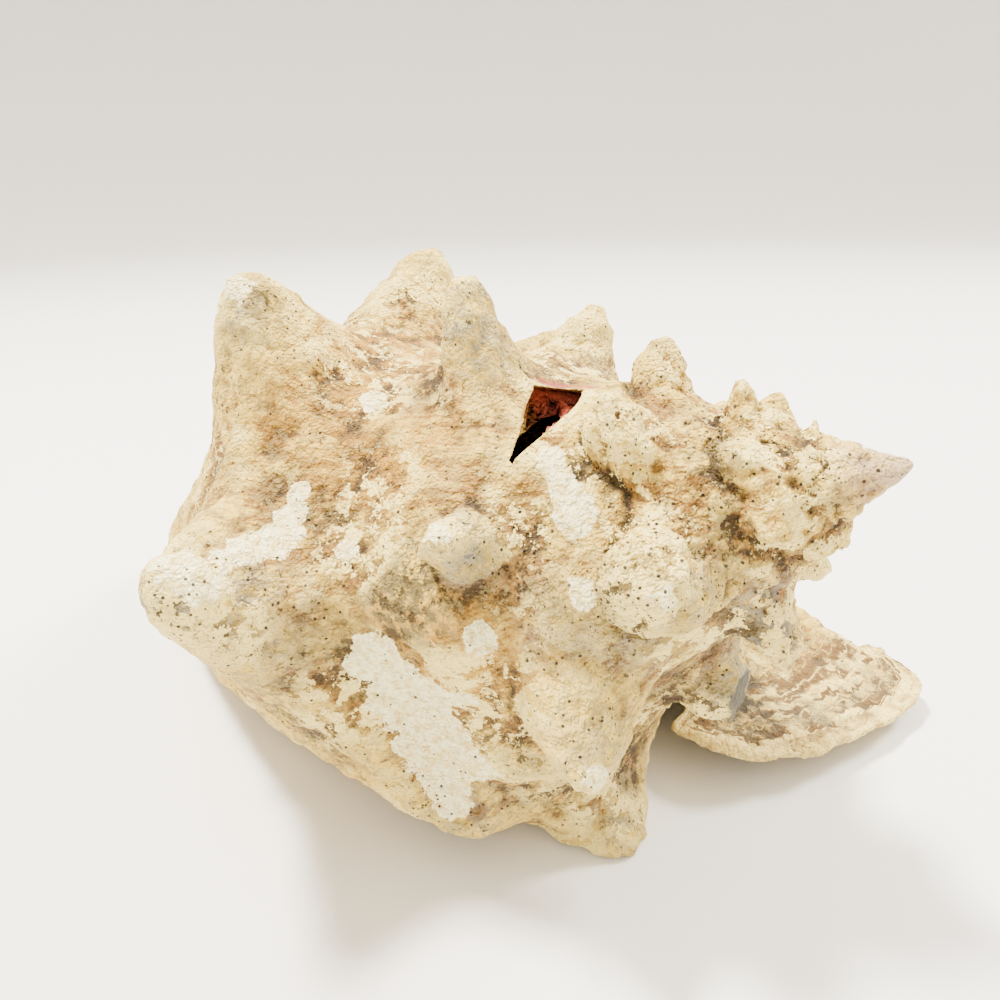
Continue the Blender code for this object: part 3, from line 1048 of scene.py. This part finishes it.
    shader = add(
        tree,
        "ShaderNodeBsdfPrincipled",
        {
            "Base Color": body,
            "Roughness": stretched(tree, inside, 0.0, 1.0, 0.85, 0.28),
            "Normal": bump.outputs[0],
        },
    )
    add(tree, "ShaderNodeOutputMaterial", {"Surface": shader.outputs[0]})
    return material


def floor_material():
    """A plain pale matt sheet."""
    material = bpy.data.materials.new("pale floor")
    material.use_nodes = True
    tree = material.node_tree
    tree.nodes.clear()
    matt = add(tree, "ShaderNodeBsdfDiffuse", {"Color": colour("#F6F4F0")})
    add(tree, "ShaderNodeOutputMaterial", {"Surface": matt.outputs[0]})
    return material


def build_shell():
    shell = add_object("conch_shell", weathered_mesh())
    shell.data.materials.clear()
    shell.data.materials.append(shell_material())
    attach(shell, "root")
    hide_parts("shell")


def build_floor():
    """A sheet that rises into the background, so that there is no line behind the shell."""
    turn = np.linspace(0.0, 2 * math.pi, 72, endpoint=False)[None, :]
    rise = np.linspace(0.0, 0.5 * math.pi, 24)
    radius = np.concatenate([[0.01, 0.8], 1.4 + 1.2 * np.sin(rise)])[:, None]
    height = np.concatenate([[0.0, 0.0], 1.2 * (1 - np.cos(rise))])[:, None]
    rows = np.stack(
        np.broadcast_arrays(radius * np.cos(turn), radius * np.sin(turn), height), axis=-1
    )
    mesh = mesh_from_rows("floor", rows, closed=True)
    mesh.shade_smooth()
    mesh.materials.append(floor_material())
    add_object("floor", mesh)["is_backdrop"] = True


WORLD_STRENGTH = 0.08

# (name, place, size, watts, tint): the key high above, a softer one from behind on the right
LIGHTS = (
    ("key", (-0.34, -0.16, 1.18), 0.20, 72.0, (1.0, 0.95, 0.86)),
    ("back", (0.50, 0.80, 0.85), 0.25, 26.0, (1.0, 0.97, 0.92)),
)


def add_area_light(name, place, target, size, energy, tint):
    light = bpy.data.lights.new(name, "AREA")
    light.size = size
    light.energy = energy
    light.color = tint
    obj = bpy.data.objects.new(name, light)
    bpy.context.scene.collection.objects.link(obj)
    obj.location = place
    obj.rotation_euler = (Vector(target) - Vector(place)).to_track_quat("-Z", "Y").to_euler()


def light_scene():
    world = bpy.data.worlds.new("pale room")
    world.use_nodes = True
    background = world.node_tree.nodes["Background"]
    background.inputs["Color"].default_value = colour("#F6F4F0")
    background.inputs["Strength"].default_value = WORLD_STRENGTH
    bpy.context.scene.world = world
    for name, place, size, energy, tint in LIGHTS:
        add_area_light(name, place, (0, 0, 0.04), size, energy, tint)


# The camera close above the spire, as the shell was seen: its place from the apex in shell sizes
CAMERA_TURN = math.radians(40.40)
CAMERA_PITCH = math.radians(21.97)
CAMERA_PLACE = Vector((0.5972, 0.9845, -0.3339))
CAMERA_LENS = 27.33


def place_camera():
    data = bpy.data.cameras.new("camera")
    data.lens = CAMERA_LENS
    data.sensor_width = 36.0
    data.clip_start = 0.01
    camera = bpy.data.objects.new("camera", data)
    bpy.context.scene.collection.objects.link(camera)
    turn = Euler((0.0, 0.0, CAMERA_TURN)).to_matrix()
    from_apex = Matrix.Translation(-(turn @ CAMERA_PLACE) * SIZE)
    aim = Euler((math.pi / 2 - CAMERA_PITCH, 0.0, CAMERA_TURN)).to_matrix().to_4x4()
    axis = Vector((math.cos(AXIS_RISE), 0.0, math.sin(AXIS_RISE)))
    roll = Matrix.Rotation(-math.radians(ROLL), 4, axis)
    camera.matrix_world = Matrix.Translation(APEX) @ roll @ from_apex @ aim
    bpy.context.scene.camera = camera


def main():
    build_shell()
    build_floor()
    light_scene()
    place_camera()


main()
